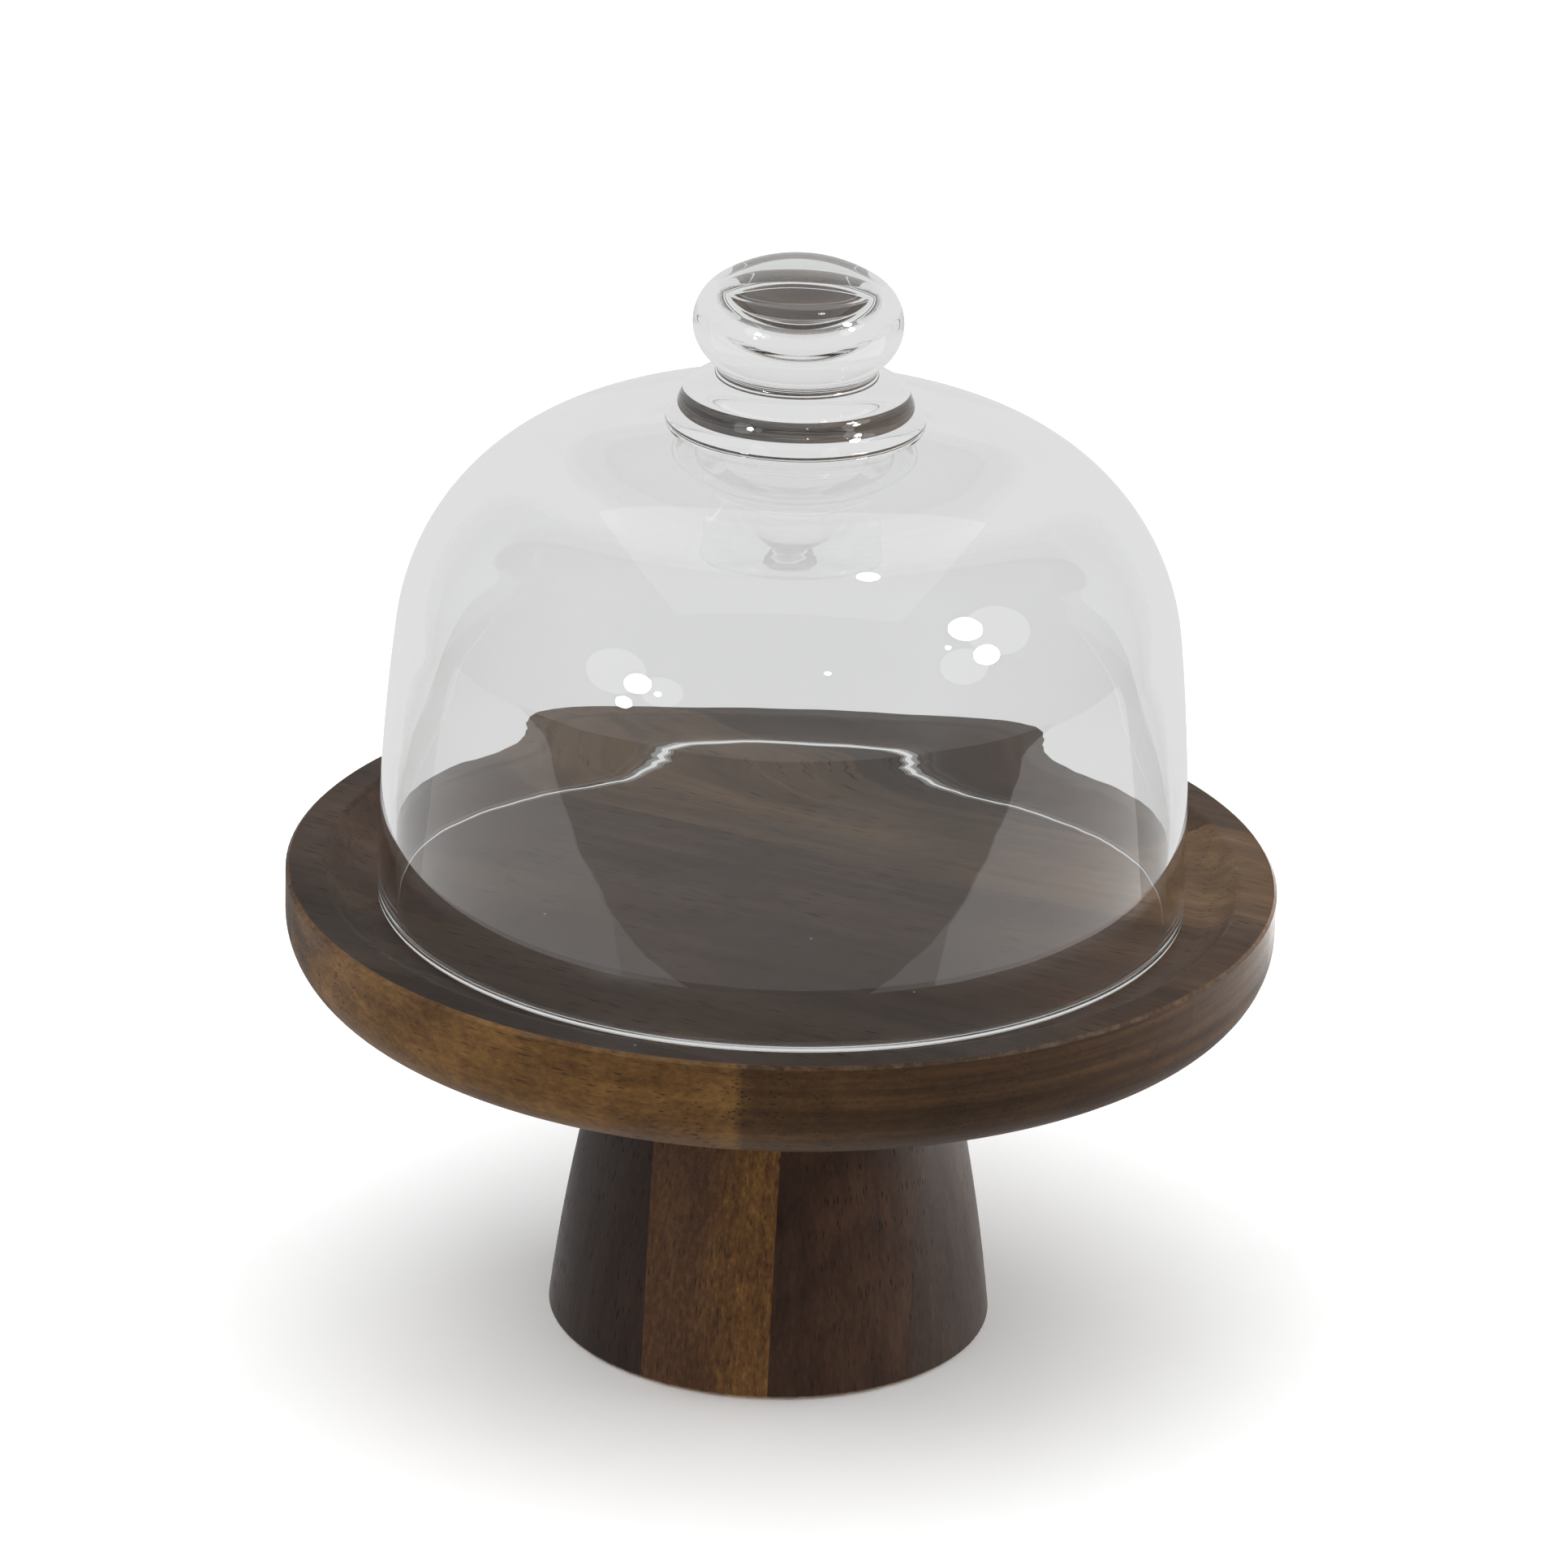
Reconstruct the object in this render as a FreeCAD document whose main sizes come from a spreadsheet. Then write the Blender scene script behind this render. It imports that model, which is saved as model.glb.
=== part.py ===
import FreeCAD, Part
import math
import operator
import os

import Sketcher

# A clear glass dome with a knob, standing in the recess of a round wooden plate on a turned foot.
# Frame: millimetres, +Z up along the axis that every turned and blown piece shares, and the origin
# in the middle of the felt pad's underside, which is what the object stands on.
# The plate is turned from edge-glued boards and the foot from upright staves, so both are made as
# one turned blank that the boards or staves then divide.

DRIVING_SIZES = {
    # turned foot
    "felt_stand": (0.5, "how far the felt pad stands out of the foot"),
    "felt_recess": (1.0, "depth of the recess that holds the pad"),
    "felt_radius": (40.0, "felt pad"),
    "felt_fit": (0.1, "gap round the felt pad"),
    "foot_radius": (45.4, "foot at its base"),
    "foot_top_radius": (30.6, "foot where it meets the plate"),
    "foot_round": (0.8, "rounded lower edge of the foot"),
    "foot_side_bend": (454.0, "radius of the foot's gently bowed side"),
    "stave_width": (26.5, "one stave of the foot"),
    "stave_first": (-46.3, "outer face of the first stave, from the axis"),
    "stave_turn": (-98.0, "direction in which the staves follow each other, degrees"),
    # turned plate
    "plate_under": (75.7, "height of the plate's underside"),
    "plate_top": (98.0, "height of the plate's rim"),
    "plate_radius": (100.0, "plate"),
    "plate_under_round": (13.4, "rounded lower edge of the plate"),
    "plate_edge_break": (0.6, "chamfer on the upper edge of the plate"),
    "rim_width": (6.7, "flat band round the plate's edge"),
    "lip_round": (2.0, "rounding from the flat band into the cove"),
    "recess_radius": (83.0, "flat floor of the recess"),
    "recess_depth": (5.2, "floor of the recess below the rim"),
    "board_width": (40.0, "one board of the plate"),
    "board_first": (-130.4, "outer face of the first board, from the axis"),
    "board_turn": (-30.0, "direction in which the boards follow each other, degrees"),
    # fastening of foot and plate
    "bolt_radius": (4.0, "hanger bolt"),
    "bolt_fit": (0.05, "gap round the bolt's threads"),
    "bolt_in_foot": (36.0, "wood thread, below the joint"),
    "bolt_in_plate": (12.0, "machine thread, above the joint"),
    "thread_depth": (0.6, "depth of the bolt's threads"),
    "wood_pitch": (3.2, "wood thread"),
    "machine_pitch": (1.25, "machine thread"),
    "insert_radius": (6.0, "threaded insert"),
    "insert_length": (12.5, "threaded insert"),
    "insert_flange_radius": (7.5, "flange of the insert"),
    "insert_flange": (1.2, "thickness of the insert's flange"),
    "insert_pitch": (2.5, "coarse outer thread of the insert"),
    # glass dome
    "dome_radius": (81.6, "outside of the dome at its rim"),
    "dome_rim_round": (0.8, "fire-polished edges of the rim"),
    "wall_height": (56.2, "outside, from the rim to the shoulder"),
    "wall_lean": (6.8, "outside lean at the top of the wall, degrees"),
    "shoulder_bend": (47.9, "outside radius of the shoulder"),
    "shoulder_lean": (81.9, "outside lean at the top of the shoulder, degrees"),
    "glass_at_rim": (4.3, "wall thickness at the rim"),
    "inner_wall_height": (53.6, "inside, from the rim to the shoulder"),
    "inner_base_lean": (0.1, "inside lean at the rim, degrees"),
    "inner_wall_lean": (10.9, "inside lean at the top of the wall, degrees"),
    "inner_shoulder_start": (1.6, "inside lean where the shoulder starts, a faint corner, degrees"),
    "inner_shoulder_bend": (32.0, "inside radius of the shoulder"),
    "inner_shoulder_lean": (74.0, "inside lean at the top of the shoulder, degrees"),
    # glass knob
    "ball_rise": (19.1, "middle of the ball above the crown of the dome"),
    "ball_radius": (20.8, "ball, sideways"),
    "ball_half_height": (12.85, "ball, upwards"),
    "ball_side_bend": (9.5, "radius of the ball's side"),
    "neck_bend": (1.5, "radius of the groove below the ball"),
    "collar_slope": (27.0, "fall of the collar's top, degrees"),
    "collar_shoulder": (22.3, "radius where the collar turns down"),
    "collar_waist": (23.4, "radius where the collar's side flares out"),
    "collar_side": (3.1, "height of the collar's side, from waist to shoulder"),
    "collar_radius": (25.8, "collar at its widest"),
    "collar_foot_round": (0.9, "rounding at the foot of the collar"),
}
BOARDS = 6
STAVES = 4
WOOD_THREAD_TURNS = 10
MACHINE_THREAD_TURNS = 8
INSERT_THREAD_TURNS = 4
SLAB_MARGIN = 5.0

doc = FreeCAD.newDocument("dome_on_stand")
finished = []


# --- sizes ------------------------------------------------------------------------------------


OPERATORS = {"+": operator.add, "-": operator.sub, "*": operator.mul, "/": operator.truediv}


class Size:
    """A size with its value and the spreadsheet expression that gives it."""

    def __init__(self, value, text):
        self.value = value
        self.text = text

    def __add__(self, other):
        return combine(self, "+", other)

    def __sub__(self, other):
        return combine(self, "-", other)

    def __mul__(self, other):
        return combine(self, "*", other)

    def __truediv__(self, other):
        return combine(self, "/", other)


def as_size(number):
    return number if isinstance(number, Size) else Size(number, f"{number:g}")


def combine(left, sign, right):
    """left sign right, as a value and as an expression."""
    left, right = as_size(left), as_size(right)
    return Size(OPERATORS[sign](left.value, right.value), f"({left.text} {sign} {right.text})")


def sine(angle):
    return Size(math.sin(math.radians(angle.value)), f"sin({angle.text} * 1deg)")


def cosine(angle):
    return Size(math.cos(math.radians(angle.value)), f"cos({angle.text} * 1deg)")


def root(size):
    return Size(math.sqrt(size.value), f"sqrt({size.text})")


def make_sheet():
    """The driving dimensions, one row each: its alias, its value and what it is."""
    sheet = doc.addObject("Spreadsheet::Sheet", "Sizes")
    for row, (alias, (value, meaning)) in enumerate(DRIVING_SIZES.items(), start=1):
        sheet.set(f"A{row}", alias)
        sheet.set(f"B{row}", str(value))
        sheet.set(f"C{row}", meaning)
        sheet.setAlias(f"B{row}", alias)
    doc.recompute()
    return sheet


SHEET = make_sheet()
ZERO = Size(0.0, "0")


def size(alias):
    return Size(float(SHEET.get(alias)), f"{SHEET.Name}.{alias}")


# --- outlines and turned solids ---------------------------------------------------------------


class Outline:
    """A closed chain of lines and arcs beside the Z axis, given by its corners as (radius, height)."""

    def __init__(self, start):
        self.corners = [start]
        self.bends = []

    def line(self, *corner):
        self.corners.append(corner)
        self.bends.append(None)
        return self

    def arc(self, corner, bend, left):
        """An arc of radius bend to corner, curving to the left or right of the way it goes."""
        self.corners.append(corner)
        self.bends.append((bend, left))
        return self

    def extend(self, stretches):
        for corner, bend, left in stretches:
            self.arc(corner, bend, left)
        return self


def place(corner):
    return FreeCAD.Vector(corner[0].value, corner[1].value, 0)


def edge_between(start, end, bend):
    """The edge from start to end, and whether it runs that way."""
    if bend is None:
        return Part.LineSegment(start, end), True
    radius, left = bend[0].value, bend[1]
    across = end - start
    half = across.Length / 2
    normal = FreeCAD.Vector(-across.y, across.x, 0).normalize()
    offset = math.sqrt(max(radius**2 - half**2, 0.0))
    middle = (start + end) * 0.5
    centre = middle + normal * (offset if left else -offset)
    first, last = (start, end) if left else (end, start)
    angles = [math.atan2(p.y - centre.y, p.x - centre.x) for p in (first, last)]
    circle = Part.Circle(centre, FreeCAD.Vector(0, 0, 1), radius)
    return Part.ArcOfCircle(circle, *angles), left


def draw(body, name, outline):
    """A sketch of the outline in the body's XZ plane, with every corner and radius bound."""
    sketch = body.newObject("Sketcher::SketchObject", name)
    plane = next(f for f in body.Origin.OriginFeatures if f.Role == "XZ_Plane")
    sketch.AttachmentSupport = [(plane, "")]
    sketch.MapMode = "FlatFace"
    corners = outline.corners
    count = len(corners)
    bends = outline.bends + [None] * (count - len(outline.bends))
    ends = []
    for i, corner in enumerate(corners):
        edge, forward = edge_between(place(corner), place(corners[(i + 1) % count]), bends[i])
        sketch.addGeometry(edge, False)
        ends.append((1, 2) if forward else (2, 1))
    rules, bound = [], []
    for i, corner in enumerate(corners):
        before = i - 1 if i else count - 1
        rules.append(Sketcher.Constraint("Coincident", before, ends[before][1], i, ends[i][0]))
        for kind, axis, place_on_axis in (("DistanceX", -2, corner[0]), ("DistanceY", -1, corner[1])):
            if place_on_axis.text == "0":
                rules.append(Sketcher.Constraint("PointOnObject", i, ends[i][0], axis))
            else:
                bound.append((len(rules), place_on_axis.text))
                rules.append(Sketcher.Constraint(kind, -1, 1, i, ends[i][0], place_on_axis.value))
        if bends[i] is not None:
            bound.append((len(rules), bends[i][0].text))
            rules.append(Sketcher.Constraint("Radius", i, bends[i][0].value))
    sketch.addConstraint(rules)
    for index, text in bound:
        sketch.setExpression(f"Constraints[{index}]", text)
    return sketch


def turned(label, outline, keep=True):
    """A body turned about Z from the outline."""
    body = doc.addObject("PartDesign::Body", label)
    body.Label = label
    sketch = draw(body, f"{label}_outline", outline)
    solid = body.newObject("PartDesign::Revolution", f"{label}_turned")
    solid.Profile = sketch
    solid.ReferenceAxis = (sketch, ["V_Axis"])
    solid.Angle = 360
    sketch.Visibility = False
    if keep:
        finished.append(body)
    return body


def slabs(blank, label, count, first, width, turn, low, high):
    """Divides the blank into count parallel slabs, as wide as the boards or staves it was glued from."""
    reach = size("plate_radius") + SLAB_MARGIN
    for number in range(count):
        near = first + width * number
        box = doc.addObject("Part::Box", f"{label}_{number + 1}_stock")
        box.setExpression("Length", (reach * 2).text)
        box.setExpression("Width", width.text)
        box.setExpression("Height", (high - low + 2 * SLAB_MARGIN).text)
        corner_x = (ZERO - reach) * cosine(turn) - near * sine(turn)
        corner_y = (ZERO - reach) * sine(turn) + near * cosine(turn)
        box.Placement.Rotation = FreeCAD.Rotation(FreeCAD.Vector(0, 0, 1), turn.value)
        box.setExpression("Placement.Rotation.Angle", turn.text)
        box.setExpression("Placement.Base.x", corner_x.text)
        box.setExpression("Placement.Base.y", corner_y.text)
        box.setExpression("Placement.Base.z", (low - SLAB_MARGIN).text)
        slab = doc.addObject("Part::Common", f"{label}_{number + 1}")
        slab.Label = f"{label}_{number + 1}"
        slab.Base = blank
        slab.Tool = box
        finished.append(slab)


# --- foot -------------------------------------------------------------------------------------


def make_felt_pad():
    pad = doc.addObject("Part::Cylinder", "felt_pad")
    pad.Label = "felt_pad"
    pad.setExpression("Radius", size("felt_radius").text)
    pad.setExpression("Height", (size("felt_stand") + size("felt_recess")).text)
    finished.append(pad)


def make_foot():
    """A bowed cone with the pad's recess below and the bolt's bore above."""
    base = size("felt_stand")
    ceiling = base + size("felt_recess")
    recess = size("felt_radius") + size("felt_fit")
    bore = size("bolt_radius") + size("bolt_fit")
    bore_floor = size("plate_under") - size("bolt_in_foot")
    edge = size("foot_round")
    outline = (
        Outline((ZERO, ceiling))
        .line(recess, ceiling)
        .line(recess, base)
        .line(size("foot_radius") - edge, base)
        .arc((size("foot_radius"), base + edge), edge, left=True)
        .arc((size("foot_top_radius"), size("plate_under")), size("foot_side_bend"), left=True)
        .line(bore, size("plate_under"))
        .line(bore, bore_floor)
        .line(ZERO, bore_floor)
    )
    blank = turned("foot_blank", outline, keep=False)
    first, width, turn = size("stave_first"), size("stave_width"), size("stave_turn")
    slabs(blank, "foot_stave", STAVES, first, width, turn, base, size("plate_under"))


# --- plate ------------------------------------------------------------------------------------


def make_plate():
    """A disc with a rounded underside, a flat rim band and a cove down to the recess floor."""
    under, top = size("plate_under"), size("plate_top")
    floor = top - size("recess_depth")
    bore_end = under + size("insert_length")
    flange_end = under + size("insert_flange")
    under_round, edge = size("plate_under_round"), size("plate_edge_break")
    band = size("plate_radius") - size("rim_width")
    reach = band - size("recess_radius")
    depth, lip = size("recess_depth"), size("lip_round")
    # the lip's arc and the cove's arc share a tangent, and their radii add up to this
    both = (reach * reach + depth * depth) / (depth * 2)
    turn_over = (band - reach * lip / both, top - lip + (both - depth) * lip / both)
    outline = (
        Outline((ZERO, bore_end))
        .line(size("insert_radius"), bore_end)
        .line(size("insert_radius"), flange_end)
        .line(size("insert_flange_radius"), flange_end)
        .line(size("insert_flange_radius"), under)
        .line(size("plate_radius") - under_round, under)
        .arc((size("plate_radius"), under + under_round), under_round, left=True)
        .line(size("plate_radius"), top - edge)
        .line(size("plate_radius") - edge, top)
        .line(band, top)
        .arc(turn_over, lip, left=True)
        .arc((size("recess_radius"), floor), both - lip, left=False)
        .line(ZERO, floor)
    )
    blank = turned("plate_blank", outline, keep=False)
    first, width, turn = size("board_first"), size("board_width"), size("board_turn")
    slabs(blank, "plate_board", BOARDS, first, width, turn, under, top)


# --- fastening --------------------------------------------------------------------------------


def threads(outline, start, pitch, turns, crest, depth, upward=True):
    """Rings with the section of a thread, one per turn, added to the outline from height start."""
    step = pitch if upward else ZERO - pitch
    for turn in range(turns):
        at = start + step * turn
        outline.line(crest - depth, at + step / 2)
        outline.line(crest, at + step)
    return outline


def make_bolt():
    """Wood thread with a blunt tip below the joint, machine thread above it."""
    joint, radius = size("plate_under"), size("bolt_radius")
    depth = size("thread_depth")
    tip = joint - size("bolt_in_foot")
    end = joint + size("bolt_in_plate")
    outline = Outline((ZERO, tip)).line(radius - depth * 2, tip).line(radius, tip + depth * 2)
    threads(outline, tip + depth * 2, size("wood_pitch"), WOOD_THREAD_TURNS, radius, depth)
    outline.line(radius, joint)
    threads(outline, joint, size("machine_pitch"), MACHINE_THREAD_TURNS, radius, depth)
    outline.line(radius, end - depth).line(radius - depth, end).line(ZERO, end)
    turned("hanger_bolt", outline)


def make_insert():
    """A flanged sleeve, threaded coarsely on the outside."""
    under = size("plate_under")
    bore = size("bolt_radius") + size("bolt_fit")
    end = under + size("insert_length")
    flange_end = under + size("insert_flange")
    outline = (
        Outline((bore, under))
        .line(size("insert_flange_radius"), under)
        .line(size("insert_flange_radius"), flange_end)
        .line(size("insert_radius"), flange_end)
    )
    pitch, depth = size("insert_pitch"), size("thread_depth")
    threads(outline, flange_end, pitch, INSERT_THREAD_TURNS, size("insert_radius"), depth)
    outline.line(size("insert_radius"), end).line(bore, end)
    turned("threaded_insert", outline)


# --- glass ------------------------------------------------------------------------------------


def bell(radius, base, base_lean, wall_height, wall_lean, shoulder_start, shoulder_bend, shoulder_lean):
    """Wall, shoulder and crown as three arcs, from the rim to the axis. Leans are from the vertical,
    inwards; wall and shoulder share a tangent if wall_lean and shoulder_start are the same.
    Gives the corners from the rim up and the arcs' radii."""
    wall_bend = wall_height / (sine(wall_lean) - sine(base_lean))
    wall_top = (
        radius - wall_bend * (cosine(base_lean) - cosine(wall_lean)),
        base + wall_height,
    )
    shoulder_top = (
        wall_top[0] - shoulder_bend * (cosine(shoulder_start) - cosine(shoulder_lean)),
        wall_top[1] + shoulder_bend * (sine(shoulder_lean) - sine(shoulder_start)),
    )
    crown_bend = shoulder_top[0] / cosine(shoulder_lean)
    crown = (ZERO, shoulder_top[1] + crown_bend * (as_size(1) - sine(shoulder_lean)))
    return [(radius, base), wall_top, shoulder_top, crown], [wall_bend, shoulder_bend, crown_bend]


RIM_BASE = size("plate_top") - size("recess_depth")
WALL_BASE = RIM_BASE + size("dome_rim_round")
OUTSIDE, OUTSIDE_BENDS = bell(
    size("dome_radius"),
    WALL_BASE,
    ZERO,
    size("wall_height"),
    size("wall_lean"),
    size("wall_lean"),
    size("shoulder_bend"),
    size("shoulder_lean"),
)
INSIDE, INSIDE_BENDS = bell(
    size("dome_radius") - size("glass_at_rim"),
    WALL_BASE,
    size("inner_base_lean"),
    size("inner_wall_height"),
    size("inner_wall_lean"),
    size("inner_shoulder_start"),
    size("inner_shoulder_bend"),
    size("inner_shoulder_lean"),
)


def make_dome_shell():
    """The bell, open below, standing on the narrow flat of its rim."""
    edge = size("dome_rim_round")
    inner = size("dome_radius") - size("glass_at_rim")
    outline = Outline((inner + edge, RIM_BASE)).line(size("dome_radius") - edge, RIM_BASE)
    outline.arc(OUTSIDE[0], edge, left=True)
    outline.extend(zip(OUTSIDE[1:], OUTSIDE_BENDS, [True] * 3))
    outline.line(*INSIDE[-1])
    outline.extend(zip(INSIDE[-2::-1], INSIDE_BENDS[::-1], [False] * 3))
    outline.arc((inner + edge, RIM_BASE), edge, left=True)
    outline.corners.pop()
    turned("dome_shell", outline)


def make_dome_knob():
    """A flattened ball on a sloping collar, with the crown's curve underneath."""
    crown, crown_bend = OUTSIDE[-1][1], OUTSIDE_BENDS[-1]
    side = size("ball_side_bend")
    ball, half = size("ball_radius"), size("ball_half_height")
    middle = crown + size("ball_rise")
    side_centre = ball - side
    # the ball's top is an arc round a point on the axis that shares a tangent with its side
    top_bend = (side_centre * side_centre + half * half - side * side) / ((half - side) * 2)
    drop = top_bend - half
    share = side / (top_bend - side)
    out, up = side_centre + side_centre * share, drop * share
    neck, slope = size("neck_bend"), size("collar_slope")
    neck_centre = (out + side_centre * neck / (top_bend - side), middle - up - drop * neck / (top_bend - side))
    collar_top = (neck_centre[0] - neck * sine(slope), neck_centre[1] - neck * cosine(slope))
    shoulder = size("collar_shoulder")
    fall = (shoulder - collar_top[0]) * sine(slope) / cosine(slope)
    foot_round = size("collar_foot_round")
    widest = size("collar_radius")
    seat = widest - foot_round
    seat_height = crown - crown_bend + root(crown_bend * crown_bend - seat * seat)
    outline = (
        Outline((ZERO, crown))
        .arc((seat, seat_height), crown_bend, left=False)
        .arc((widest, seat_height + foot_round), foot_round, left=True)
        .line(size("collar_waist"), collar_top[1] - fall - size("collar_side"))
        .line(shoulder, collar_top[1] - fall)
        .line(*collar_top)
        .arc((out, middle - up), neck, left=False)
        .arc((ball, middle), side, left=True)
        .arc((out, middle + up), side, left=True)
        .arc((ZERO, middle + half), top_bend, left=True)
    )
    turned("dome_knob", outline)


# --- document ---------------------------------------------------------------------------------


def check_and_write():
    """Stops on anything that failed, then writes one STEP file per piece."""
    for item in doc.Objects:
        failed = {"Invalid", "Error"} & set(item.State)
        if failed:
            raise RuntimeError(f"{item.Label} is {failed}")
    for piece in finished:
        shape = piece.Shape
        if shape.isNull() or not shape.isValid() or shape.Volume <= 0:
            raise RuntimeError(f"{piece.Label} has no valid solid")
    os.makedirs("parts", exist_ok=True)
    for piece in finished:
        piece.Shape.exportStep(f"parts/{piece.Label}.step")
        box = piece.Shape.BoundBox
        low = f"{box.XMin:.1f} {box.YMin:.1f} {box.ZMin:.1f}"
        high = f"{box.XMax:.1f} {box.YMax:.1f} {box.ZMax:.1f}"
        print(f"{piece.Label}: {len(piece.Shape.Solids)} solid, {piece.Shape.Volume:.0f} mm3, {low} to {high}")


make_felt_pad()
make_foot()
make_plate()
make_bolt()
make_insert()
make_dome_shell()
make_dome_knob()
doc.recompute()
check_and_write()
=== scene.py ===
import math
import random
from types import SimpleNamespace

import bmesh
import bpy
from mathutils import Matrix, Vector

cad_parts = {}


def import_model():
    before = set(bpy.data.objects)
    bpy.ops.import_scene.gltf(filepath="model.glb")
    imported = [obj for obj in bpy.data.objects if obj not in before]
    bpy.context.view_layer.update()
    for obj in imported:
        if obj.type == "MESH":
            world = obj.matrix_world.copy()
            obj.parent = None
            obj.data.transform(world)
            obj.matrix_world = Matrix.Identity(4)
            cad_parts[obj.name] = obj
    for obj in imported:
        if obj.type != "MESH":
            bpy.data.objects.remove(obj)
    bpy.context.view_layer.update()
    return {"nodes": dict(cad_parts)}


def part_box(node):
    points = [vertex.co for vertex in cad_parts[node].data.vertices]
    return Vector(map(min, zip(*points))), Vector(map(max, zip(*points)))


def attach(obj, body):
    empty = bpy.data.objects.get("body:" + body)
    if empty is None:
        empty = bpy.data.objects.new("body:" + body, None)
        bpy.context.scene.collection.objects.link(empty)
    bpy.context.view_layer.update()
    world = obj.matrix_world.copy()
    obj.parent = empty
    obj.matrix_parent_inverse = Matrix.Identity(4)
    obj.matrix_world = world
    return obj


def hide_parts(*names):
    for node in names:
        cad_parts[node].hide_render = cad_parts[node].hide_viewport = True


# A clear glass dome on a turned wooden stand, in metres, +Z up along the axis of the turned pieces.
# The glass is one closed mesh for shell and knob, as it is fused on the real object.
# The wood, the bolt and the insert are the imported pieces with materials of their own.

MM = 0.001
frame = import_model()
NODES = frame["nodes"]

# how the boards and staves lie: direction in which they follow each other, first face and width
BOARDS = (math.radians(-30), -130.4 * MM, 40.0 * MM)
STAVES = (math.radians(-98), -46.3 * MM, 26.5 * MM)


# --- node trees -------------------------------------------------------------------------------


class Nodes:
    """Adds nodes to a tree. An input is given as a number, a colour or another node's output."""

    def __init__(self, tree):
        self.tree = tree

    def add(self, kind, inputs=None, **settings):
        node = self.tree.nodes.new(kind)
        for name, value in settings.items():
            setattr(node, name, value)
        for name, value in (inputs or {}).items():
            socket = node.inputs[name]
            if isinstance(value, bpy.types.NodeSocket):
                self.tree.links.new(value, socket)
            else:
                socket.default_value = value
        return node

    def math(self, operation, a, b=0.0):
        return self.add("ShaderNodeMath", {0: a, 1: b}, operation=operation).outputs[0]

    def product(self, a, b):
        return self.math("MULTIPLY", a, b)

    def span(self, value, low, high, to_low=0.0, to_high=1.0, smooth=False):
        """Value from low..high to to_low..to_high, held at its ends."""
        inputs = {"Value": value, "From Min": low, "From Max": high}
        inputs |= {"To Min": to_low, "To Max": to_high}
        kind = "SMOOTHSTEP" if smooth else "LINEAR"
        return self.add("ShaderNodeMapRange", inputs, interpolation_type=kind).outputs["Result"]

    def mix(self, share, a, b, blend="MIX"):
        node = self.add("ShaderNodeMix", data_type="RGBA", blend_type=blend)
        for socket, value in zip((node.inputs[0], node.inputs[6], node.inputs[7]), (share, a, b)):
            if isinstance(value, bpy.types.NodeSocket):
                self.tree.links.new(value, socket)
            else:
                socket.default_value = value
        return node.outputs[2]

    def noise(self, vector, detail=2.0, roughness=0.5, distortion=0.0):
        inputs = {"Vector": vector, "Scale": 1.0, "Detail": detail, "Roughness": roughness}
        inputs["Distortion"] = distortion
        return self.add("ShaderNodeTexNoise", inputs).outputs["Fac"]

    def cells(self, vector):
        """Voronoi cells, by the distance from their points and their colours."""
        inputs = {"Vector": vector, "Scale": 1.0}
        return self.add("ShaderNodeTexVoronoi", inputs, feature="F1").outputs

    def stretched(self, vector, scale, shift=(0.0, 0.0, 0.0)):
        """The vector times how often a pattern repeats in a metre of each axis."""
        inputs = {"Vector": vector, "Scale": scale, "Location": shift}
        return self.add("ShaderNodeMapping", inputs).outputs[0]

    def split(self, vector):
        return self.add("ShaderNodeSeparateXYZ", {0: vector}).outputs

    def joined(self, x, y, z):
        return self.add("ShaderNodeCombineXYZ", {0: x, 1: y, 2: z}).outputs[0]

    def ramp(self, value, tones):
        """Dark, middle and light tone over value."""
        ramp = self.add("ShaderNodeValToRGB", {"Fac": value})
        stops = ramp.color_ramp.elements
        stops[0].position, stops[0].color = 0.12, tones[0]
        stops[1].position, stops[1].color = 0.88, tones[2]
        stops.new(0.5).color = tones[1]
        return ramp.outputs["Color"]

    def summed(self, parts):
        """A half, plus each noise's distance from a half times its weight."""
        total = 0.5
        for noise, weight in parts:
            total = self.math("ADD", total, self.product(self.math("SUBTRACT", noise, 0.5), weight))
        return total

    def bump(self, height, strength, distance, normal=None):
        inputs = {"Height": height, "Strength": strength, "Distance": distance}
        if normal is not None:
            inputs["Normal"] = normal
        return self.add("ShaderNodeBump", inputs).outputs[0]


def new_material(name):
    """An empty node material, its Nodes and its output."""
    material = bpy.data.materials.new(name)
    material.use_nodes = True
    material.node_tree.nodes.clear()
    nodes = Nodes(material.node_tree)
    return material, nodes, nodes.add("ShaderNodeOutputMaterial")


def rgb(red, green, blue):
    """Linear colour from the 0 to 255 numbers of a colour picker."""
    linear = [
        (c / 255 / 12.92) if c <= 10 else ((c / 255 + 0.055) / 1.055) ** 2.4 for c in (red, green, blue)
    ]
    return (*linear, 1.0)


# --- wood -------------------------------------------------------------------------------------


WOOD_SHADOW = rgb(18, 13, 10)
# pale bare wood on worn edges, and also the colour of the painted highlight along the plate's top edge
BARE_WOOD_AND_HIGHLIGHT = rgb(128, 108, 84)
DUST = rgb(190, 184, 174)


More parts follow.
